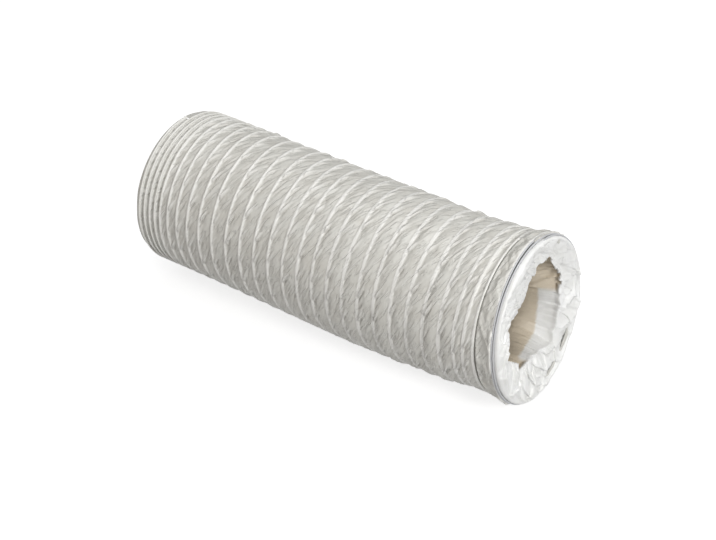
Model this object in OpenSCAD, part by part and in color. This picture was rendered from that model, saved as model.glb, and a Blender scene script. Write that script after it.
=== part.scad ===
// Flexible round duct: a thin PVC film sleeve carried by a spring wire helix.
// It lies on its side along X, pushed together for storage, and its gathered mouth faces +X.
// Millimetres, +Z up. The origin is on the floor, under the middle of the duct.

/* [Duct] */
// Inside radius of the sleeve, which slips over a spigot of nominal 125 mm
bore_r = 62.5; // [58:0.5:80]
// Thickness of the film, two plies welded together
film_t = 0.35; // [0.3:0.05:0.6]
// Length of film past the first turn of wire at the open end
hem = 2; // [2:0.5:8]
// How far the slack film and its wire draw in behind the mouth
draw_in = 1.6; // [1:0.1:3]

/* [Spring wire] */
// Radius of the rib: the wire with the film lap that is welded round it
rib_r = 1.1; // [0.8:0.1:1.2]
// Pitch of the turns in the loose middle of the duct
loose_pitch = 14.3; // [10:0.1:20]
// Number of loose turns
loose_turns = 15; // [8:1:16]
// Pitch of the turns that are pushed together at the open end
packed_pitch = 5.5; // [3:0.1:8]
// Number of turns pushed together at the open end
packed_turns = 4; // [3:1:5]
// Number of turns over which the pitch opens out from packed to loose
opening_turns = 5; // [2:1:6]
// Pitches of the turns that close up before the crumpled band, the loose turns' neighbour first
closing_pitches = [13.2, 9.5, 5.8];
// Width of the crumpled band of film behind the rim
crumple_pitch = 14; // [8:0.1:20]
// Pitch of the turns that lie against each other at the rim
nested_pitch = 2.4; // [2.4:0.1:4]

/* [Mouth] */
// Radius of the soft roll of film at the rim
rim_roll = 3; // [2:0.5:5]
// How far the gathered film has sunk into the duct at the ragged opening
mouth_sink = 6; // [3:0.5:12]
// Height of the folds in the gathered film
fold_h = 1.2; // [0:0.1:2]
// Depth at which the film that is tucked in leans furthest into the duct
tuck_lean = 34; // [20:1:38]
// Depth at which the film that is tucked in ends
tuck_end = 43; // [40:1:55]
// Corners of the gathered film: angle from the top towards -Y, then the share of the inside radius
// at the ragged opening, at the depth of the furthest lean and at the end
corners = [
    [-178, 0.53, 0.6, 0.76], [-142, 0.77, 0.58, 0.72], [-126, 0.7, 0.57, 0.72],
    [-107, 0.66, 0.6, 0.74], [-72, 0.73, 0.66, 0.78], [-55, 0.67, 0.7, 0.8], [-36, 0.75, 0.72, 0.82],
    [-11, 0.67, 0.74, 0.83], [12, 0.5, 0.68, 0.8], [57, 0.48, 0.7, 0.82], [71, 0.67, 0.76, 0.84],
    [87, 0.61, 0.74, 0.84], [106, 0.7, 0.76, 0.84], [136, 0.56, 0.7, 0.82], [143, 0.64, 0.72, 0.82],
    [152, 0.57, 0.68, 0.8], [182, 0.53, 0.6, 0.76]];

/* [Hidden] */
steps_per_turn = 30;
rib_sides = 6;
opening_ease = 0.75;
gather_columns = 60;
// The gathered film is its own solid and stops this close to the roll.
seam_gap = 0.02;
film_colour = [0.91, 0.91, 0.89];
rib_colour = [0.95, 0.95, 0.93];

sleeve_r = bore_r + film_t;
// A chord between two stations dips towards the axis, so the stations stand off by that much.
station_r = (sleeve_r + rib_r + 0.02) / cos(180 / steps_per_turn);
axis_h = station_r + rib_r;
// Depth from the mouth, and how much the sleeve is drawn in there.
draw_depths = [[0, 0], [12, 0], [24, draw_in], [50, draw_in], [75, 0]];

// One pitch for each turn, from the open end to the mouth.
opening_pitches = [for (k = [1:opening_turns])
    packed_pitch + (loose_pitch - packed_pitch) * pow(k / (opening_turns + 1), opening_ease)];
pitches = concat(
    [for (k = [1:packed_turns]) packed_pitch],
    opening_pitches,
    [for (k = [1:loose_turns]) loose_pitch],
    closing_pitches,
    [crumple_pitch, nested_pitch, nested_pitch]);
turns = len(pitches);

function sum_to(list, n) = n <= 0 ? 0 : list[n - 1] + sum_to(list, n - 1);
starts = [for (k = [0:turns]) sum_to(pitches, k)];
duct_length = hem + rib_r + starts[turns] + rib_r;
far_x = -duct_length / 2;
mouth_x = duct_length / 2;
// Radius at which the roll of the rim turns into the gathered film
flat_r = sleeve_r - rim_roll;

function drawn_in(x) = lookup(mouth_x - x, draw_depths);

// Pitch eases from one turn into the next, so the wire has no kink.
function eased(t) = t * t * (3 - 2 * t);
function slope_at(k) = (pitches[max(k - 1, 0)] + pitches[min(k, turns - 1)]) / 2;
function along(turn) =
    let (k = min(floor(turn), turns - 1), t = turn - k,
         a = starts[k], b = starts[k + 1], m = slope_at(k), n = slope_at(k + 1))
    a * (1 - eased(t)) + b * eased(t) + m * t * (1 - t) * (1 - t) - n * t * t * (1 - t);

// Points of the rib's section at one station of the right-handed helix.
function station(i) =
    let (turn = i / steps_per_turn, angle = 360 * turn,
         x = far_x + hem + rib_r + along(turn), middle = station_r - drawn_in(x))
    [for (j = [0:rib_sides - 1])
        let (a = 360 * j / rib_sides, r = middle + rib_r * cos(a))
        [x + rib_r * sin(a), -r * sin(angle), r * cos(angle)]];

module spring_wire() {
    last = turns * steps_per_turn;
    points = [for (i = [0:last]) each station(i)];
    sides = [for (i = [0:last - 1], j = [0:rib_sides - 1])
        let (p = i * rib_sides + j, q = i * rib_sides + (j + 1) % rib_sides)
        [p, p + rib_sides, q + rib_sides, q]];
    start_cap = [for (j = [0:rib_sides - 1]) j];
    end_cap = [for (j = [rib_sides - 1:-1:0]) last * rib_sides + j];
    color(rib_colour)
        translate([0, 0, axis_h])
        polyhedron(points, concat([start_cap], sides, [end_cap]));
}

// Half section of the wall, which draws in behind the mouth.
module wall_section() {
    bends = [
        [bore_r, far_x],
        for (k = [len(draw_depths) - 1:-1:1]) [bore_r - draw_depths[k][1], mouth_x - draw_depths[k][0]],
        [bore_r, mouth_x - rim_roll]];
    polygon(concat([for (b = bends) b + [film_t, 0]], [for (k = [len(bends) - 1:-1:0]) bends[k]]));
}

// Half section of the soft roll at the rim.
module roll_section() {
    translate([flat_r, mouth_x - rim_roll]) intersection() {
        difference() {
            circle(rim_roll, $fn = 48);
            circle(rim_roll - film_t, $fn = 48);
        }
        square(rim_roll);
    }
}

// Share of the inside radius at an angle: column 1 at the opening, 2 at the lean, 3 at the end.
function share(a, column) =
    lookup(a > 182 ? a - 360 : a, [for (c = corners) [c[0], c[column]]]);
function fold(a) = fold_h * (sin(7 * a + 30) + sin(11 * a)) / 2;

// Front of the gathered film at an angle, as radius and depth, from the roll to the tucked end.
function front(a, k) =
    k == 0 ? [flat_r - seam_gap, 0] :
    k == 1 ? [(flat_r + bore_r * share(a, 1)) / 2, mouth_sink * 0.4 + fold(a)] :
    k == 2 ? [bore_r * share(a, 1), mouth_sink] :
    k == 3 ? [bore_r * share(a, 2), tuck_lean] :
    [bore_r * share(a, 3), tuck_end];
// The back of the film lies this far behind its front, as radius and depth.
backs = film_t * [[0, 1], [0, 1], [0.7, 0.7], [1, 0], [1, 0]];

// Film gathered in from the roll to the ragged opening and tucked back down inside the duct.
module gathered_film() {
    n = gather_columns;
    last = len(backs) - 1;
    profile = [for (k = [0:last]) [k, 0], for (k = [last:-1:0]) [k, 1]];
    rings = len(profile);
    points = [for (s = profile, i = [0:n - 1])
        let (a = 360 * i / n - 177, p = front(a, s[0]) + s[1] * backs[s[0]])
        [-p[0] * cos(a), -p[0] * sin(a), mouth_x - p[1]]];
    faces = [for (k = [0:rings - 1], i = [0:n - 1], half = [0, 1])
        let (a = k * n + i, b = k * n + (i + 1) % n,
             c = (k + 1) % rings * n + (i + 1) % n, d = (k + 1) % rings * n + i)
        half == 0 ? [a, c, b] : [a, d, c]];
    polyhedron(points, faces);
}

module film_sleeve() {
    color(film_colour)
        translate([0, 0, axis_h])
        rotate([0, 90, 0]) {
            rotate_extrude($fn = 120) wall_section();
            rotate_extrude($fn = 120) roll_section();
            gathered_film();
        }
}

film_sleeve();
spring_wire();
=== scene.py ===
"""Flexible round duct of thin white PVC film on a spring wire, lying pushed together."""

import math

import bpy
import numpy as np
from mathutils import Matrix, Vector


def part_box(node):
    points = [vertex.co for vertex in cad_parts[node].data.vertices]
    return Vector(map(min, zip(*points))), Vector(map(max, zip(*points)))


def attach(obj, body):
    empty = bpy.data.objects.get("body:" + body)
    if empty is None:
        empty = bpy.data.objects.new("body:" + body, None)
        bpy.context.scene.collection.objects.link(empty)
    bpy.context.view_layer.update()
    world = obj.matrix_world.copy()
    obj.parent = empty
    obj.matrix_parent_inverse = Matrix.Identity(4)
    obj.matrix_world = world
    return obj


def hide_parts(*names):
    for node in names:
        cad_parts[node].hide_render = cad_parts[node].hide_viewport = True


bl_info = {
    "name": "Flexible Duct Dressing",
    "version": (1, 0, 0),
    "blender": (4, 5, 0),
    "location": "3D View > Sidebar > Duct",
    "description": "Dresses the frame of a pushed-together flexible duct in creased film",
    "category": "Object",
}

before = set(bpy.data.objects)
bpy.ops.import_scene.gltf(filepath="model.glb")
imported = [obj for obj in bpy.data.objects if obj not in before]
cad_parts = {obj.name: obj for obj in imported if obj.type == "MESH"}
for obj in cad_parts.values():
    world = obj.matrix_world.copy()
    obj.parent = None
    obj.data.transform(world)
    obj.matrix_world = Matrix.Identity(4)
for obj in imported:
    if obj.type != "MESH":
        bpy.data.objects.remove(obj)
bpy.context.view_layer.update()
SLEEVE_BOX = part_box("film_sleeve")
MM = 0.001

# Pitches of the turns of wire from the open end to the mouth, in mm, as the CAD part winds them:
# packed, opening, loose, closing, then the crumpled band and two that lie against each other.
PACKED_PITCH = 5.5
LOOSE_PITCH = 14.3
OPENING = [PACKED_PITCH + (LOOSE_PITCH - PACKED_PITCH) * (k / 6) ** 0.75 for k in range(1, 6)]
CLOSING = [13.2, 9.5, 5.8]
RIM = [14.0, 2.4, 2.4]
PITCHES = np.array([PACKED_PITCH] * 4 + OPENING + [LOOSE_PITCH] * 15 + CLOSING + RIM) * MM
TURNS = len(PITCHES)
STARTS = np.concatenate([[0.0], np.cumsum(PITCHES)])
CRUMPLED_TURN = TURNS - 3
# As it lies in the photograph, the loose turns sit a few mm further from the mouth: depth behind
# the rim, how far further, and the width of the crumpled band that this leaves, all in mm.
SHIFT_DEPTHS = [6, 20.5, 120, 200, 300, 341]
SHIFTS = [0, 3.5, 3.7, 2.6, 1.0, 0]
CRUMPLED_WIDTH = 17.5
# The open end's hem and the wire's own half width come before the first turn of wire.
HEM = 3.1 * MM

# Corners of the gathered film: angle from the top towards -Y in degrees, then the share of the
# inside radius at the ragged opening, where the tucked film leans furthest in, and at its end.
INSIDE_RADIUS = 62.5 * MM
CORNERS = np.array([
    (-178, 0.53, 0.60, 0.76), (-142, 0.77, 0.58, 0.72), (-126, 0.70, 0.57, 0.72),
    (-107, 0.66, 0.60, 0.74), (-72, 0.73, 0.66, 0.78), (-55, 0.67, 0.70, 0.80),
    (-36, 0.75, 0.72, 0.82), (-11, 0.67, 0.74, 0.83), (12, 0.50, 0.68, 0.80),
    (57, 0.48, 0.70, 0.82), (71, 0.67, 0.76, 0.84), (87, 0.61, 0.74, 0.84),
    (106, 0.70, 0.76, 0.84), (136, 0.56, 0.70, 0.82), (143, 0.64, 0.72, 0.82),
    (152, 0.57, 0.68, 0.80), (182, 0.53, 0.60, 0.76),
])

# How the light duct lies: its rim and its open end stand up from the body's own axis, the rim
# leans back and aside by a share of its height and width, and the slack film draws in behind it.
RIM_LIFT = 4.7 * MM
OPEN_END_LIFT = 5.6 * MM
LEAN_BACK = 0.079
LEAN_ASIDE = 0.033
DRAW_IN = 2.1 * MM
FLOOR_GAP = 0.25 * MM

# Places where the film is sampled, round each turn and across it
SLEEVE_STEPS = 500
SLEEVE_ROWS = 22
HEM_STEPS = 400
HEM_ROWS = 5
RIB_STEPS = 180
RIB_SIDES = 8
MOUTH_COLUMNS = 720
ROLL_ROWS = 9
FACE_ROWS = 41
TUCK_ROWS = 43

# One degree round the rim, in mm
DEGREE_OF_RIM = 1.05

# Creases slant across a bay at about 27 degrees to the wire: mm along it for each mm across, then
# the cosine and the sine of that angle.
CREASE_SLANT = 1.96
CREASE_COS = 0.891
CREASE_SIN = 0.454
# Darts along one turn of wire, and their spacing in mm along it and square to themselves
DARTS_PER_TURN = 22.34
DART_SPACING = 18
DARTS_APART = 8.1

# Sizes of the patterns in the film
MOTTLE_WIDTH = 12.5 * MM
CREASE_SPACING = 2.222 * MM
CREASE_STRETCH = 0.18
MARK_WIDTH = 3.03 * MM

# The photograph's camera: frame width in pixels and focal length in the same pixels.
PHOTO_WIDTH = 716
PHOTO_FOCAL = 1600
SENSOR = 36.0
# Middle of the rim as the camera sees it: right, down and away, in outer radii of the rim
RIM_SEEN = (2.003, 0.582, 18.0)
OUTER_RADIUS = 65.3 * MM
# How far the duct turns away and tips down in the picture, and the camera's pitch, in degrees
TURN_AWAY = 31.38
TIP_DOWN = 18.6
CAMERA_PITCH = 32.87


def linear(hex_colour):
    """sRGB hex value to linear RGBA."""
    parts = [int(hex_colour[i:i + 2], 16) / 255 for i in (1, 3, 5)]
    return [c / 12.92 if c <= 0.04045 else ((c + 0.055) / 1.055) ** 2.4 for c in parts] + [1.0]


# Fields that crease the film


def lattice(ix, iy, seed):
    """A fixed value from 0 to 1 for each whole-number place, from a plain integer hash."""
    h = (ix * 374761393 + iy * 668265263 + seed * 144269504) & 0xFFFFFFFF
    h = ((h ^ (h >> 13)) * 1274126177) & 0xFFFFFFFF
    return ((h ^ (h >> 16)) & 0xFFFF) / 65535.0


def noise(x, y, seed):
    """Smooth field from -1 to 1 with features one unit wide. Each kind of crease has its seed."""
    fx, fy = np.floor(x), np.floor(y)
    ix, iy = fx.astype(np.int64), fy.astype(np.int64)
    u, v = x - fx, y - fy
    u, v = u * u * u * (u * (6 * u - 15) + 10), v * v * v * (v * (6 * v - 15) + 10)
    low = lattice(ix, iy, seed) * (1 - u) + lattice(ix + 1, iy, seed) * u
    high = lattice(ix, iy + 1, seed) * (1 - u) + lattice(ix + 1, iy + 1, seed) * u
    return 2 * (low * (1 - v) + high * v) - 1


def ease(t):
    """Rises smoothly from 0 to 1 as t does."""
    t = np.clip(t, 0, 1)
    return t * t * (3 - 2 * t)


def bump(x, centre, width):
    """A soft hump of height 1."""
    return np.exp(-(((x - centre) / width) ** 2))


def turned_from(degrees, centre):
    """How far an angle is from another, from -180 to 180 degrees."""
    return (degrees - centre + 180) % 360 - 180


def fold_lines(x, y, seed, width):
    """Thin winding lines from 0 to 1, where a sheet of film has been folded sharply."""
    return np.exp(-((noise(x, y, seed) / width) ** 2))


# The wire's run


def far_edge():
    return SLEEVE_BOX[0].x


def rim_edge():
    return SLEEVE_BOX[1].x


def axis_height():
    return (SLEEVE_BOX[0].z + SLEEVE_BOX[1].z) / 2


def wire_x(turn):
    """Place along the duct of the wire at a turn. Pitch eases from each turn into the next."""
    turn = np.clip(turn, 0, TURNS)
    k = np.minimum(np.floor(turn).astype(int), TURNS - 1)
    t = turn - k
    slope = np.concatenate([[PITCHES[0]], (PITCHES[1:] + PITCHES[:-1]) / 2, [PITCHES[-1]]])
    a, b, m, n = STARTS[k], STARTS[k + 1], slope[k], slope[k + 1]
    e = t * t * (3 - 2 * t)
    run = a * (1 - e) + b * e + m * t * (1 - t) ** 2 - n * t * t * (1 - t)
    x = far_edge() + HEM + run
    depth = (rim_edge() - x) / MM
    return x - MM * np.interp(depth, SHIFT_DEPTHS, SHIFTS)


def around(x, r, turn):
    """Points at a place along the duct, a radius and a turn, kept above the floor."""
    a = 2 * np.pi * turn
    depth = (rim_edge() - x) / MM
    r = r - DRAW_IN * ease((depth - 6) / 16) * ease((150 - depth) / 90)
    y = -r * np.sin(a)
    z = r * np.cos(a)
    x = x - (LEAN_BACK * z + LEAN_ASIDE * y) * ease((22 - depth) / 14)
    rise = RIM_LIFT * ease((70 - depth) / 60) + OPEN_END_LIFT * ease((depth - 120) / 220)
    z = axis_height() + z + rise
    # The last millimetre above the floor squeezes up, so no film goes through it.
    low = FLOOR_GAP + MM
    z = np.where(z < low, FLOOR_GAP + MM * np.exp((z - low) / MM), z)
    return np.stack([x, y, z], axis=-1)


def make_mesh(name, points, quads, material):
    """A smooth piece of film, rib or floor in one material."""
    mesh = bpy.data.meshes.new(name)
    mesh.from_pydata(points.reshape(-1, 3).tolist(), [], quads.tolist())
    mesh.polygons.foreach_set("use_smooth", np.ones(len(mesh.polygons), dtype=bool))
    mesh.materials.append(material)
    mesh.update()
    obj = bpy.data.objects.new(name, mesh)
    bpy.context.scene.collection.objects.link(obj)
    return obj


def add_field(piece, name, values):
    """Keeps one number from 0 to 1 at every point, for the material to read."""
    field = piece.data.attributes.new(name, "FLOAT", "POINT")
    field.data.foreach_set("value", values.ravel().astype(np.float32))


def add_grain(piece, over, along):
    """Keeps the place on the flat film, given in mm over and along its creases, for the material."""
    field = piece.data.attributes.new("grain", "FLOAT_VECTOR", "POINT")
    places = np.stack([over, along, np.zeros_like(over)], axis=-1).reshape(-1) * MM
    field.data.foreach_set("vector", places.astype(np.float32))


def grid_quads(rows, columns, wrap=False):
    """Faces of a grid of points held row by row; wrap joins the last column to the first."""
    last = columns if wrap else columns - 1
    r, c = np.meshgrid(np.arange(rows - 1), np.arange(last), indexing="ij")
    a = r * columns + c
    b = r * columns + (c + 1) % columns
    return np.stack([a, b, b + columns, a + columns], axis=-1).reshape(-1, 4)


# Materials


def add_node(tree, kind, links=(), **settings):
    """Adds a node, sets its values and sockets by name, and links its inputs."""
    node = tree.nodes.new(kind)
    for key, value in settings.items():
        if hasattr(node, key):
            setattr(node, key, value)
        else:
            node.inputs[key.replace("_", " ")].default_value = value
    for socket, source in dict(links).items():
        tree.links.new(source, node.inputs[socket])
    return node


def new_material(name):
    """An empty node material and its tree."""
    material = bpy.data.materials.new(name)
    material.use_nodes = True
    material.node_tree.nodes.clear()
    return material, material.node_tree


def film_material(name, colour, shade, field, field_colour, creased):
    """PVC film, calendered in two thin plies: a soft sheen, a faint milky mottle and set creases."""
    material, tree = new_material(name)
    place = add_node(tree, "ShaderNodeTexCoord").outputs["Object"]
    # Milky patches, where the plies lie closer together
    mottle = add_node(tree, "ShaderNodeTexNoise", {"Vector": place}, Scale=1 / MOTTLE_WIDTH,
                      Detail=3.0)
    tint = add_node(tree, "ShaderNodeValToRGB", {"Fac": mottle.outputs["Fac"]})
    tint.color_ramp.elements[0].position = 0.35
    tint.color_ramp.elements[0].color = shade
    tint.color_ramp.elements[1].position = 0.65
    tint.color_ramp.elements[1].color = colour
    # A second tone: whiter laps over the wire, partly their own white and partly painted highlight,
    # painted highlight on the darts' ridges, painted warm shade on the tucked inside of the mouth,
    # and painted grey shade on the nested turns.
    share = add_node(tree, "ShaderNodeAttribute", attribute_name=field)
    blend = add_node(tree, "ShaderNodeMix", {"Factor": share.outputs["Fac"],
                                             6: tint.outputs["Color"]}, data_type="RGBA")
    blend.inputs[7].default_value = field_colour
    # Sparse set creases that run with the slanting folds, drawn coarser than the real ones, which
    # would be too fine to show
    grain = add_node(tree, "ShaderNodeAttribute", attribute_name="grain")
    drawn = add_node(tree, "ShaderNodeMapping", {"Vector": grain.outputs["Vector"]},
                     Scale=(1.0, CREASE_STRETCH, 1.0))
    creases = add_node(tree, "ShaderNodeTexNoise", {"Vector": drawn.outputs["Vector"]},
                       Scale=1 / CREASE_SPACING, Detail=2.0, Distortion=0.4)
    sharp = add_node(tree, "ShaderNodeMapRange", {"Value": creases.outputs["Fac"]},
                     interpolation_type="SMOOTHSTEP", From_Min=0.48, From_Max=0.66)
    set_in = add_node(tree, "ShaderNodeBump", {"Height": sharp.outputs["Result"]},
                      Strength=creased, Distance=0.5 * MM)
    # Handling marks
    marks = add_node(tree, "ShaderNodeTexNoise", {"Vector": place}, Scale=1 / MARK_WIDTH,
                     Detail=4.0)
    dents = add_node(tree, "ShaderNodeBump", {"Height": marks.outputs["Fac"],
                                              "Normal": set_in.outputs["Normal"]},
                     Strength=0.25, Distance=0.6 * MM)
    gloss = add_node(tree, "ShaderNodeMapRange", {"Value": mottle.outputs["Fac"]},
                     To_Min=0.36, To_Max=0.50)
    shader = add_node(tree, "ShaderNodeBsdfPrincipled", {
        "Base Color": blend.outputs[2],
        "Roughness": gloss.outputs["Result"],
        "Normal": dents.outputs["Normal"],
    }, IOR=1.53)
    add_node(tree, "ShaderNodeOutputMaterial", {"Surface": shader.outputs["BSDF"]})
    return material


# Settings


class DuctFilmSettings(bpy.types.PropertyGroup):
    """Sizes and colours of the film between the turns of wire"""

    film_colour: bpy.props.FloatVectorProperty(
        name="Film Colour", description="Colour of the creased film", subtype="COLOR",
        size=4, min=0, max=1, default=linear("#D1D0CA"))
    film_shade: bpy.props.FloatVectorProperty(
        name="Film Shade", description="Colour of its milky patches", subtype="COLOR",
        size=4, min=0, max=1, default=linear("#C9C7C0"))
    # The lap colour is partly the lap's own white and partly painted highlight over the wire and the
    # darts.
    lap_and_highlight_colour: bpy.props.FloatVectorProperty(
        name="Lap Colour", description="Colour where the film is stretched over the wire",
        subtype="COLOR", size=4, min=0, max=1, default=linear("#EDECE8"))
    foot_radius: bpy.props.FloatProperty(
        name="Foot Radius", description="Radius of the film where it meets the wire",
        default=63.5 * MM, unit="LENGTH", subtype="DISTANCE")
    ridge: bpy.props.FloatProperty(
        name="Ridge", description="Height of the film's ridge over the wire",
        default=1.3 * MM, unit="LENGTH", subtype="DISTANCE")
    dart_height: bpy.props.FloatProperty(
        name="Dart Height", description="Height of the small darts beside the wire",
        default=1.9 * MM, unit="LENGTH", subtype="DISTANCE")
    bulge_far: bpy.props.FloatProperty(
        name="Far Bulge", description="Bulge of the film between turns near the open end",
        default=0.7 * MM, unit="LENGTH", subtype="DISTANCE")
    bulge_near: bpy.props.FloatProperty(
        name="Near Bulge", description="Bulge of the film between turns near the mouth",
        default=2.6 * MM, unit="LENGTH", subtype="DISTANCE")
    crease_height: bpy.props.FloatProperty(
        name="Crease Height", description="Height of the slanting creases between turns",
        default=1.05 * MM, unit="LENGTH", subtype="DISTANCE")


class DuctRibSettings(bpy.types.PropertyGroup):
    """Sizes and colours of the lap round the wire"""

    # The rib's lap colour is partly its own white and partly painted highlight, keeping the ribs
    # bright in shade.
    lap_and_highlight_colour: bpy.props.FloatVectorProperty(
        name="Lap Colour", description="Colour of the film lap round the wire", subtype="COLOR",
        size=4, min=0, max=1, default=linear("#EAE9E5"))
    lap_shade: bpy.props.FloatVectorProperty(
        name="Lap Shade", description="Colour of its milky patches", subtype="COLOR",
        size=4, min=0, max=1, default=linear("#E4E3DD"))
    # Painted shade: the nested turns at the rim are drawn grey, as their shaded flank looks.
    painted_coil_shade_colour: bpy.props.FloatVectorProperty(
        name="Worn Colour", description="Colour of the lap where the steel shows through it",
        subtype="COLOR", size=4, min=0, max=1, default=linear("#C4C5C7"))
    radius: bpy.props.FloatProperty(
        name="Rib Radius", description="Half the width of the film lap round the wire",
        default=0.9 * MM, unit="LENGTH", subtype="DISTANCE")
    centre_radius: bpy.props.FloatProperty(
        name="Rib Centre", description="Distance of the wire from the duct's axis",
        default=64.1 * MM, unit="LENGTH", subtype="DISTANCE")


class DuctMouthSettings(bpy.types.PropertyGroup):
    """Sizes and colours of the gathered film"""

    film_colour: bpy.props.FloatVectorProperty(
        name="Film Colour", description="Colour of the gathered film", subtype="COLOR",
        size=4, min=0, max=1, default=linear("#F1F1F0"))
    film_shade: bpy.props.FloatVectorProperty(
        name="Film Shade", description="Colour of its milky patches", subtype="COLOR",
        size=4, min=0, max=1, default=linear("#EAEAE7"))
    # Painted shade: the tucked-in film is tinted warm and dark where it lies in shade.
    inside_shade_colour: bpy.props.FloatVectorProperty(
        name="Inside Colour", description="Colour of the film that is tucked in",
        subtype="COLOR", size=4, min=0, max=1, default=linear("#D6CAB6"))
    outer_radius: bpy.props.FloatProperty(
        name="Outer Radius", description="Outer radius of the roll at the rim",
        default=63.5 * MM, unit="LENGTH", subtype="DISTANCE")
    roll: bpy.props.FloatProperty(
        name="Roll", description="Radius at which the film rolls over the rim",
        default=2.2 * MM, unit="LENGTH", subtype="DISTANCE")
    skirt: bpy.props.FloatProperty(
        name="Skirt", description="How far the film runs back under the last turn of wire",
        default=3.2 * MM, unit="LENGTH", subtype="DISTANCE")
    sink: bpy.props.FloatProperty(
        name="Sink", description="How far the gathered film sinks at the opening's edge",
        default=6 * MM, unit="LENGTH", subtype="DISTANCE")
    fold_height: bpy.props.FloatProperty(
        name="Fold Height", description="Height of the folds in the gathered film",
        default=2.3 * MM, unit="LENGTH", subtype="DISTANCE")
    lean_depth: bpy.props.FloatProperty(
        name="Lean Depth", description="Depth at which the tucked film leans furthest in",
        default=34 * MM, unit="LENGTH", subtype="DISTANCE")
    tuck_depth: bpy.props.FloatProperty(
        name="Tuck Depth", description="How far the gathered film runs on inside the duct",
        default=58 * MM, unit="LENGTH", subtype="DISTANCE")


class DuctStageSettings(bpy.types.PropertyGroup):
    """Strength of the lights"""

    key_power: bpy.props.FloatProperty(
        name="Key Light", description="Power of the large soft light", default=16, unit="POWER")
    top_power: bpy.props.FloatProperty(
        name="Top Light", description="Power of the soft light from above",
        default=13, unit="POWER")
    low_power: bpy.props.FloatProperty(
        name="Low Light", description="Power of the warm light from low in front",
        default=1.44, unit="POWER")
    room_level: bpy.props.FloatProperty(
        name="Room Level", description="Strength of the even light from all round",
        default=0.36, min=0, max=2)


# Film between the turns of wire


def pleats(place, seed, sharp=0.2):
    """Creases one unit apart, each steep on one side and easing away on the other."""
    k = np.floor(place)
    f = place - k
    number = k.astype(np.int64)
    size = 0.25 + 0.75 * lattice(number, 0 * number, seed)
    following = 0.25 + 0.75 * lattice(number + 1, 0 * number, seed)
    rise = ease((f - (1 - sharp)) / sharp)
    return size * (1 - f) ** 1.3 * (1 - rise) + following * rise


def darts(turn, across):
    """Small darts the film puckers into beside each turn of wire."""
    beat = turn * DARTS_PER_TURN + across * CREASE_SLANT / DART_SPACING
    beat = beat + 0.16 * noise(turn * 10, 0 * turn, 21)
    number = np.floor(beat).astype(np.int64)
    off = (beat - number - 0.5) * DARTS_APART
    size = 0.3 + 0.8 * lattice(number, 0 * number, 4)
    ridge = np.where(off < 0, np.exp(-((off / 1.3) ** 2)), np.exp(-((off / 0.6) ** 2)))
    groove = 0.5 * bump(off, 1.5, 0.6)
    reach = ease((across - 0.9) / 1.1) * np.exp(-(np.maximum(across - 2.6, 0) / 2.6) ** 2)
    return (ridge - groove) * size * reach


def nested(turn):
    """1 where the last turns of wire lie against each other, and 0 elsewhere."""
    return ease((turn - CRUMPLED_TURN - 0.9) * 10)


def slanting_creases(along, across):
    """Creases that run slanting from turn to turn, about 1 high, at a place in mm."""
    slant = along + across * CREASE_SLANT
    wander = 3.0 * noise(along / 21, across / 8, 5) + 1.4 * noise(along / 6, across / 5, 6)
    crease = (
        0.60 * pleats((slant + wander) / 8.5, 11, 0.14)
        + 0.50 * pleats((slant * 1.04 + 0.7 * wander) / 4.6, 12, 0.25)
        - 0.70 * fold_lines((slant + wander) / 9, across / 11, 13, 0.2)
        - 0.40
    )
    return crease * (0.62 + 0.55 * noise(along / 17, across / 14, 17))


def film_radius(turn, share, pitch, settings):
    """Radius of the film at a turn, at a share of the way from one turn of wire to the next."""
    along = turn * 2 * np.pi * settings.foot_radius / MM
    across = share * pitch / MM
    gap = pitch / MM
    edge = np.minimum(across, gap - across)
    # Slack film bulges between turns, fuller towards the mouth.
    toward_mouth = ease((turn - 8) / 16)
    bulge = settings.bulge_far + (settings.bulge_near - settings.bulge_far) * toward_mouth
    bulge = bulge * np.clip(gap / LOOSE_PITCH, 0, 1) * (1 + 0.25 * noise(along / 37, turn, 3))
    # Where the turns are pushed together the film folds inwards between them.
    fold_in = 4.5 * MM * np.clip((8 - gap) / 5, 0, 1)
    height = (bulge - fold_in) * np.sin(np.pi * share) ** 0.8
    # Over the wire the film stands up in a soft ridge, but between the nested turns it lies deep.
    over_wire = np.exp(-((edge / np.minimum(1.4, 0.17 * gap)) ** 2))
    height = height + settings.ridge * (1 - nested(turn)) * over_wire - 1.6 * MM * nested(turn)
    creases = slanting_creases(along, across) * ease(edge / 2.2)
    height = height + settings.crease_height * creases * np.clip(gap / 9, 0.1, 1)
    # The film lies smooth on the underside, so the darts fade out towards it.
    above = ease((0.78 + np.cos(2 * np.pi * turn)) / 0.3)
    height = height + settings.dart_height * darts(turn, across) * np.clip(gap / 10, 0, 1) * above
    return settings.foot_radius + height


def crumpled_radius(turn, share, settings):
    """Radius in the crushed band behind the rim, with a deep fold at its far side."""
    along = turn * 2 * np.pi * settings.foot_radius / MM
    across = share * CRUMPLED_WIDTH
    hold = ease((CRUMPLED_WIDTH - across) / 1.5)
    wander = 3.0 * noise(along / 17, across / 9, 34)
    facets = np.abs(noise((along + 0.6 * across) / 11, across / 7, 36))
    facets = facets + 0.7 * np.abs(noise((along - 1.1 * across + wander) / 6.5, across / 6, 37))
    crush = (
        1.2 * noise(along / 15 + across / 15, across / 10, 31)
        - 1.6 * facets
        + 0.9 * pleats((along - across * 1.4 + wander) / 13, 32)
        + 0.6
    )
    body = 1.4 * ease((across - 1.2) / 1.2) * (0.35 + 0.65 * hold)
    # The fold gapes towards the underside.
    gape = 0.8 - 0.5 * np.cos(2 * np.pi * (turn - 0.05))
    fold = -5.5 * bump(across, 1.2, 0.3 + 0.75 * gape)
    return settings.foot_radius + MM * (body + crush * ease((across - 2.4) / 2) * hold + fold)


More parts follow.
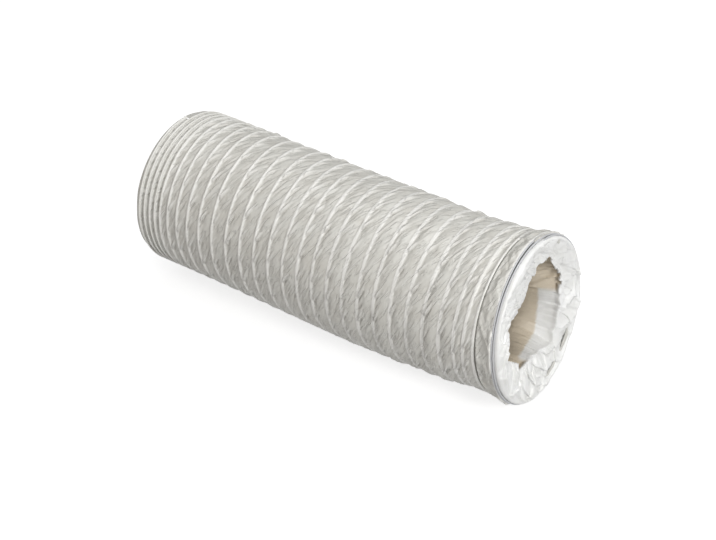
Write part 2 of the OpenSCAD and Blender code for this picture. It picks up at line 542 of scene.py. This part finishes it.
def lap_and_highlight_share(turn, share, pitch):
    """1 over the wire, where the whiteness is partly the lap's own and partly painted highlight,
    and on the ridges of the darts, where it is painted highlight; 0 between.
    """
    edge = np.minimum(share, 1 - share) * pitch / MM
    lap = np.exp(-((edge / 1.4) ** 4))
    # Painted highlight: the raised side of each dart is drawn whiter than the film round it.
    lap = np.maximum(lap, 0.8 * np.clip(darts(turn, share * pitch / MM), 0, 1))
    return lap * (1 - nested(turn))


def sleeve_part(name, first, last, material, settings):
    """Film from one turn to another. Neighbouring bays share the points over the wire."""
    steps, rows = SLEEVE_STEPS, SLEEVE_ROWS
    count = (last - first) * steps
    turn = first + np.arange(count + steps + 1)[:, None] / steps
    # The rows lie closer together beside the wire.
    even = np.arange(rows)[None, :] / rows
    share = 0.5 * even + 0.25 * (1 - np.cos(np.pi * even))
    low = wire_x(turn)
    pitch = wire_x(turn + 1) - low
    radius = film_radius(turn, share, np.maximum(pitch, 0.5 * MM), settings)
    crushed = np.floor(turn + 1e-9) == CRUMPLED_TURN
    radius = np.where(crushed, crumpled_radius(turn, share, settings), radius)
    points = around(low + share * pitch, radius, turn + 0 * share)
    i, j = np.meshgrid(np.arange(count), np.arange(rows), indexing="ij")
    here = i * rows + j
    # Past its last row a bay goes on to the first row of the next, one whole turn further.
    there = np.where(j < rows - 1, here + 1, (i + steps) * rows)
    quads = np.stack([here, there, there + rows, here + rows], axis=-1).reshape(-1, 4)
    used = np.unique(quads)
    renumber = np.full(points.shape[0] * rows, -1)
    renumber[used] = np.arange(len(used))
    piece = make_mesh(name, points.reshape(-1, 3)[used], renumber[quads], material)
    # The lap field carries painted highlight as well: whiter over the wire and on the darts' ridges.
    add_field(piece, "lap", lap_and_highlight_share(turn, share, pitch).ravel()[used])
    # The seam of this measure round the duct lies along the underside.
    along = (turn - np.floor(turn + 0.5)) * 2 * np.pi * settings.foot_radius / MM
    across = (low + share * pitch) / MM
    over = CREASE_SIN * along + CREASE_COS * across
    run = CREASE_COS * along - CREASE_SIN * across
    add_grain(piece, over.ravel()[used], run.ravel()[used])
    return piece


def hem_part(name, material, settings):
    """Plain film between the cut edge of the open end and the first turn of wire."""
    turn = np.arange(HEM_STEPS + 1)[:, None] / HEM_STEPS
    share = np.arange(HEM_ROWS)[None, :] / (HEM_ROWS - 1)
    low, high = far_edge(), wire_x(turn)
    flutter = 0.5 * MM * noise(turn * 26, share * 2, 41) * (1 - share)
    radius = settings.foot_radius - 0.6 * MM * (1 - share) + flutter
    points = around(low + share * (high - low), radius, turn + 0 * share)
    piece = make_mesh(name, points, grid_quads(HEM_STEPS + 1, HEM_ROWS), material)
    add_field(piece, "lap", 0 * radius)
    add_grain(piece, turn * 400 + 3 * share, 9 * share + turn)
    return piece


class DUCT_OT_film_sleeve(bpy.types.Operator):
    """Lays the creased film between the turns of wire"""

    bl_idname = "duct.film_sleeve"
    bl_label = "Film Sleeve"

    def execute(self, context):
        settings = context.scene.duct_film
        film = film_material("PVC film, calendered", settings.film_colour, settings.film_shade,
                             "lap", settings.lap_and_highlight_colour, creased=1.0)
        pieces = [hem_part("open_end_hem", film, settings)]
        # The last turn of wire lies on the mouth film's skirt, so the sleeve ends one turn short.
        for number in range(5):
            first, last = 6 * number, min(6 * number + 6, TURNS - 1)
            pieces.append(sleeve_part(f"sleeve_{number + 1}", first, last, film, settings))
        for piece in pieces:
            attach(piece, "root")
            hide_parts("film_sleeve")
        return {"FINISHED"}


class DUCT_OT_wire_rib(bpy.types.Operator):
    """Winds the rib, the film lap stretched tight round the spring wire"""

    bl_idname = "duct.wire_rib"
    bl_label = "Wire Rib"

    def execute(self, context):
        settings = context.scene.duct_rib
        turn = np.arange(TURNS * RIB_STEPS + 1)[:, None] / RIB_STEPS
        a = 2 * np.pi * np.arange(RIB_SIDES)[None, :] / RIB_SIDES
        along = turn * 2 * np.pi * settings.centre_radius / MM
        # The lap is pulled a little unevenly round the wire, and rubbed thin in the nested turns.
        thick = settings.radius * (1 + 0.08 * noise(along / 6, 0 * turn, 51))
        thick = thick * (1 - 0.3 * nested(turn))
        # Both ends of the wire taper off and tuck in under the film.
        to_end = np.minimum(turn, TURNS - turn)
        thick = thick * (0.05 + 0.95 * ease(to_end / 0.03))
        tucked = 2.0 * MM * ease((0.04 - to_end) / 0.04)
        radius = settings.centre_radius - tucked + thick * np.cos(a)
        points = around(wire_x(turn) + thick * np.sin(a), radius, turn + 0 * a)
        # The same film, welded over the wire: smoother, and whiter, partly its own white and partly
        # painted highlight, and greyer in the nested turns, which is painted shade.
        lap = film_material("PVC film lap, welded", settings.lap_and_highlight_colour, settings.lap_shade,
                            "painted_coil_shade", settings.painted_coil_shade_colour, creased=0.3)
        rib = make_mesh("wire_rib", points, grid_quads(len(turn), RIB_SIDES, wrap=True), lap)
        # Painted shade: grey on the nested turns, where their flank lies in shade.
        add_field(rib, "painted_coil_shade", nested(turn) + 0 * a)
        add_grain(rib, along + 0 * a, 0.2 * thick / MM + 0 * a)
        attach(rib, "root")
        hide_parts("spring_wire")
        return {"FINISHED"}


# Gathered film of the mouth


def corner_share(degrees, column):
    """Share of the inside radius at an angle, along straight edges from corner to corner."""
    a = (degrees + 178) % 360 - 178
    x = CORNERS[:, column] * np.cos(np.radians(CORNERS[:, 0]))
    y = CORNERS[:, column] * np.sin(np.radians(CORNERS[:, 0]))
    k = np.clip(np.searchsorted(CORNERS[:, 0], a, side="right") - 1, 0, len(CORNERS) - 2)
    ax, ay, bx, by = x[k], y[k], x[k + 1], y[k + 1]
    ca, sa = np.cos(np.radians(a)), np.sin(np.radians(a))
    return (ax * by - ay * bx) / (ca * (by - ay) - sa * (bx - ax))


def rounded_share(degrees, column):
    """Share of the inside radius at an angle, going evenly from corner to corner."""
    a = (degrees + 178) % 360 - 178
    return np.interp(a, CORNERS[:, 0], CORNERS[:, column])


def panel_share(degrees):
    """1 on the smooth panel of the tucked film, from angle 164 to -88, and 0 away from it."""
    return ease((54 - np.abs(turned_from(degrees, -142))) / 4)


def panel_slope(degrees):
    """How much further in the panel ends at an angle, in mm. It ends along a slanting line."""
    return 0.10 * turned_from(degrees, -88)


def face_relief(degrees, inward):
    """Folds of the gathered face in mm, at an angle and a distance in from its outer edge."""
    sweep = degrees * 0.9 + inward * 1.5
    back = degrees * 0.9 - inward * 1.1
    wander = 4 * noise(degrees / 15, inward / 9, 65)
    rings = (inward + 0.12 * degrees + 0.5 * wander) / 7.5
    return (
        1.3 * noise(sweep / 26, inward / 16, 61)
        + 1.3 * pleats((sweep + wander) / 19, 62, 0.07)
        + 0.9 * pleats((back - wander) / 23, 63, 0.07)
        - 0.9 * fold_lines((sweep + wander) / 24, inward / 40, 64, 0.11)
        - 0.7 * fold_lines((back + wander) / 30, inward / 30, 67, 0.10)
        - 0.25 * fold_lines(degrees / 42, rings, 68, 0.16)
        - 0.9
    )


def rim_rows(degrees, front, settings):
    """A skirt under the last turn of wire, then a soft roll over the rim to the face."""
    flat = 0 * degrees
    rows = [(front - settings.skirt + flat, settings.outer_radius - 0.7 * MM + flat, flat)]
    for t in np.linspace(0, 1, ROLL_ROWS):
        b = t * np.pi / 2
        soft = 0.35 * settings.fold_height * face_relief(degrees, flat) * t
        x = front + settings.roll * np.sin(b) + soft
        r = settings.outer_radius - settings.roll * (1 - np.cos(b)) + flat
        rows.append((x, r, flat))
    return rows


def face_rows(degrees, rim_x, edge_r, settings):
    """The gathered face, from the roll in to the ragged edge of the opening."""
    rows = []
    face_r = settings.outer_radius - settings.roll
    for t in np.linspace(0, 1, FACE_ROWS + 1)[1:]:
        r = face_r + (edge_r - face_r) * t
        reach = (0.35 + 0.65 * ease(t / 0.12)) * (1 - 0.85 * ease((t - 0.7) / 0.3))
        relief = settings.fold_height * face_relief(degrees, (face_r - r) / MM) * reach
        # Steep folds lean over sideways, as film that is folded flat does.
        lean = -0.75 * relief * ease(t / 0.2) / r
        rows.append((rim_x - settings.sink * t ** 1.3 + relief, r, lean))
    return rows


def tucked_rows(degrees, front, edge_x, edge_r, settings):
    """Film that goes on round the edge and down inside, in long gathers, then back to the wall."""
    rows = []
    smooth = panel_share(degrees)
    lean_r = rounded_share(degrees, 2) * INSIDE_RADIUS
    end_r = rounded_share(degrees, 3) * INSIDE_RADIUS + 5 * MM
    lean_x = rim_edge() - settings.lean_depth
    last_x = front - settings.tuck_depth
    for t in np.linspace(0, 1, TUCK_ROWS + 1)[1:]:
        down, out = min(1.0, t / 0.5), max(0.0, (t - 0.5) / 0.5)
        x = edge_x + (lean_x - edge_x) * down + (last_x - lean_x) * out
        r = edge_r + (lean_r - edge_r) * ease(down) + (end_r - lean_r) * ease(out)
        sway = 0.5 * noise(degrees / 30, 0 * degrees + t * 2, 74)
        gather = (
            2.4 * noise(degrees / 17 + t * 1.2, 0 * degrees + t * 1.5, 71)
            + 3.0 * pleats(degrees / 23 + 1.6 * t + sway, 72)
            - 2.2 * fold_lines(degrees / 21 + 1.5 * t, 0 * degrees + 1.3 * t, 75, 0.14)
            + 1.2 * pleats(degrees / 7.5 + t * 0.8, 73)
            - 2.2
        ) * MM * ease(t * 5) * (1 - 0.4 * out) * (1 - 0.75 * smooth)
        # One long crease runs slanting down the inside.
        long_crease = 2.6 * MM * bump(degrees, 96 + 70 * t, 3.0) * ease(t * 6) * (1 - out)
        # The edge is thin: right behind it the film steps outwards.
        lip = 4.5 * MM * ease(t / 0.08) * ease((0.45 - t) / 0.3) * (1 - 0.8 * smooth)
        r = np.minimum(r + gather - long_crease + lip, 60 * MM)
        rows.append((x - 0.6 * MM * ease(t * 20), r, 0 * degrees))
    return rows


class DUCT_OT_mouth_film(bpy.types.Operator):
    """Gathers the film in over the rim and tucks it down inside the duct"""

    bl_idname = "duct.mouth_film"
    bl_label = "Mouth Film"

    def execute(self, context):
        settings = context.scene.duct_mouth
        degrees = np.arange(MOUTH_COLUMNS)[None, :] * 360.0 / MOUTH_COLUMNS
        # The edge frays into small frills, most of all on its far side.
        frill = 0.4 + 0.9 * ease((50 - np.abs(turned_from(degrees, -62))) / 12)
        edge_r = corner_share(degrees, 1) * INSIDE_RADIUS
        edge_r = edge_r + frill * MM * noise(degrees / 2.3, 0 * degrees, 77)
        # The roll starts just behind the front of the rim.
        front = rim_edge() - 1.2 * MM
        rows = rim_rows(degrees, front, settings)
        rows += face_rows(degrees, rows[-1][0], edge_r, settings)
        first_tucked = len(rows)
        rows += tucked_rows(degrees, front, rows[-1][0], edge_r, settings)
        x, r, lean = (np.concatenate(part) for part in zip(*rows))
        # The same film, gathered: its face is the whitest, and its tucked inside is tinted warmer
        # and darker as painted shade.
        film = film_material("PVC film, gathered", settings.film_colour, settings.film_shade,
                             "painted_inside_shade", settings.inside_shade_colour, creased=0.3)
        face = make_mesh("mouth_film", around(x, r, (degrees + np.degrees(lean)) / 360.0),
                         grid_quads(len(rows), MOUTH_COLUMNS, wrap=True), film)
        # Painted shade: the inside is tinted warm and dark, but for the one smooth panel low on the
        # far side, which is left white where the light reaches it.
        inner = ease((np.arange(len(rows))[:, None] - first_tucked + 0.5) / 2)
        depth = (rim_edge() - x) / MM
        panel = panel_share(degrees) * ease((25 - depth + panel_slope(degrees)) / 1.5)
        add_field(face, "painted_inside_shade", inner * (1 - panel))
        round_rim = degrees * DEGREE_OF_RIM + 0 * r
        over_face = np.cumsum(np.hypot(np.gradient(x, axis=0), np.gradient(r, axis=0)), axis=0) / MM
        add_grain(face, 0.7 * round_rim + 0.7 * over_face, 0.7 * over_face - 0.7 * round_rim)
        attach(face, "root")
        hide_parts("film_sleeve")
        return {"FINISHED"}


# Stage


class DUCT_OT_stage(bpy.types.Operator):
    """Sets the pale floor, the soft lights and the camera of the photograph"""

    bl_idname = "duct.stage"
    bl_label = "Stage"

    def execute(self, context):
        settings = context.scene.duct_stage
        scene = context.scene
        scene.view_settings.view_transform = "Standard"
        corners = 3.0 * np.array([[-1, -1, 0], [1, -1, 0], [1, 1, 0], [-1, 1, 0]])
        floor = make_mesh("floor", corners, np.array([[0, 1, 2, 3]]), self.paper())
        self.room(scene, settings)
        self.lamp("key_light", (1.5, -0.65, 0.95), 0.5, settings.key_power)
        self.lamp("top_light", (0.2, -0.1, 1.9), 0.8, settings.top_power)
        self.lamp("low_light", (-0.8, -1.4, 0.35), 0.6, settings.low_power, "#FFE9D2")
        self.camera(scene)
        return {"FINISHED"}

    def paper(self):
        """Matt white paper sweep. It shows white to the camera and keeps the duct's shadow."""
        material, tree = new_material("Paper sweep, matt")
        rays = add_node(tree, "ShaderNodeLightPath")
        seen = add_node(tree, "ShaderNodeMath", {0: rays.outputs["Is Camera Ray"],
                                                 1: rays.outputs["Is Glossy Ray"]},
                        operation="MAXIMUM")
        matt = add_node(tree, "ShaderNodeBsdfDiffuse", Color=linear("#B4B4B4"))
        glow = add_node(tree, "ShaderNodeEmission", {"Strength": seen.outputs["Value"]},
                        Color=linear("#E4E4E4"))
        both = add_node(tree, "ShaderNodeAddShader", {0: matt.outputs["BSDF"],
                                                      1: glow.outputs["Emission"]})
        add_node(tree, "ShaderNodeOutputMaterial", {"Surface": both.outputs["Shader"]})
        return material

    def room(self, scene, settings):
        """Plain white room, dimmer as a light than the camera sees it."""
        world = bpy.data.worlds.new("Plain white room")
        world.use_nodes = True
        tree = world.node_tree
        tree.nodes.clear()
        rays = add_node(tree, "ShaderNodeLightPath")
        seen = add_node(tree, "ShaderNodeMath", {0: rays.outputs["Is Camera Ray"],
                                                 1: rays.outputs["Is Transmission Ray"]},
                        operation="MAXIMUM")
        level = add_node(tree, "ShaderNodeMapRange", {"Value": seen.outputs["Value"]},
                         To_Min=settings.room_level, To_Max=1.0)
        back = add_node(tree, "ShaderNodeBackground", {"Strength": level.outputs["Result"]},
                        Color=linear("#FFFFFF"))
        add_node(tree, "ShaderNodeOutputWorld", {"Surface": back.outputs["Background"]})
        scene.world = world

    def lamp(self, name, place, size, power, tint="#FFFFFF"):
        """Soft round light that faces the duct."""
        light = bpy.data.lights.new(name, "AREA")
        light.shape = "DISK"
        light.size = size
        light.energy = power
        light.color = linear(tint)[:3]
        lamp = bpy.data.objects.new(name, light)
        lamp.location = place
        aim = Vector((0, 0, axis_height())) - Vector(place)
        lamp.rotation_euler = aim.to_track_quat("-Z", "Y").to_euler()
        bpy.context.scene.collection.objects.link(lamp)

    def camera(self, scene):
        """The camera of the photograph, found from the outline of the duct and its rim."""
        rim = Vector(RIM_SEEN) * OUTER_RADIUS
        turn_away, tip_down = math.radians(TURN_AWAY), math.radians(TIP_DOWN)
        run = Vector((math.cos(tip_down) * math.cos(turn_away), math.sin(tip_down),
                      -math.cos(tip_down) * math.sin(turn_away)))
        pitch = math.radians(CAMERA_PITCH)
        up = Vector((0, -math.cos(pitch), -math.sin(pitch)))
        up = (up - run * up.dot(run)).normalized()
        side = -run.cross(up)
        to_duct = Matrix((run, side, up))
        data = bpy.data.cameras.new("photo_camera")
        data.sensor_width = SENSOR
        data.lens = PHOTO_FOCAL / PHOTO_WIDTH * SENSOR
        camera = bpy.data.objects.new("photo_camera", data)
        # The rim's middle: a little behind its front, and above the axis of the body.
        centre = Vector((rim_edge() - 3.5 * MM, 0, axis_height() + 2.5 * MM))
        camera.location = centre - to_duct @ rim
        right, down, away = (to_duct @ Vector(v) for v in ((1, 0, 0), (0, 1, 0), (0, 0, 1)))
        turned = Matrix((right, -down, -away)).transposed()
        camera.rotation_euler = turned.to_euler()
        scene.collection.objects.link(camera)
        scene.camera = camera


class DUCT_PT_panel(bpy.types.Panel):
    """Sizes and pieces of the duct"""

    bl_idname = "DUCT_PT_panel"
    bl_label = "Flexible Duct"
    bl_space_type = "VIEW_3D"
    bl_region_type = "UI"
    bl_category = "Duct"

    def draw(self, context):
        for title, group, operator in (
            ("Film", context.scene.duct_film, "duct.film_sleeve"),
            ("Rib", context.scene.duct_rib, "duct.wire_rib"),
            ("Mouth", context.scene.duct_mouth, "duct.mouth_film"),
            ("Stage", context.scene.duct_stage, "duct.stage"),
        ):
            box = self.layout.box()
            box.label(text=title)
            for key in group.__annotations__:
                box.prop(group, key)
            box.operator(operator)


GROUPS = {
    "duct_film": DuctFilmSettings,
    "duct_rib": DuctRibSettings,
    "duct_mouth": DuctMouthSettings,
    "duct_stage": DuctStageSettings,
}
CLASSES = (*GROUPS.values(), DUCT_OT_film_sleeve, DUCT_OT_wire_rib, DUCT_OT_mouth_film,
           DUCT_OT_stage, DUCT_PT_panel)


def register():
    for cls in CLASSES:
        bpy.utils.register_class(cls)
    for name, group in GROUPS.items():
        setattr(bpy.types.Scene, name, bpy.props.PointerProperty(type=group))


def unregister():
    for name in GROUPS:
        delattr(bpy.types.Scene, name)
    for cls in reversed(CLASSES):
        bpy.utils.unregister_class(cls)


def main():
    register()
    bpy.ops.duct.film_sleeve()
    bpy.ops.duct.wire_rib()
    bpy.ops.duct.mouth_film()
    bpy.ops.duct.stage()
    bpy.context.view_layer.update()


if __name__ == "__main__":
    main()
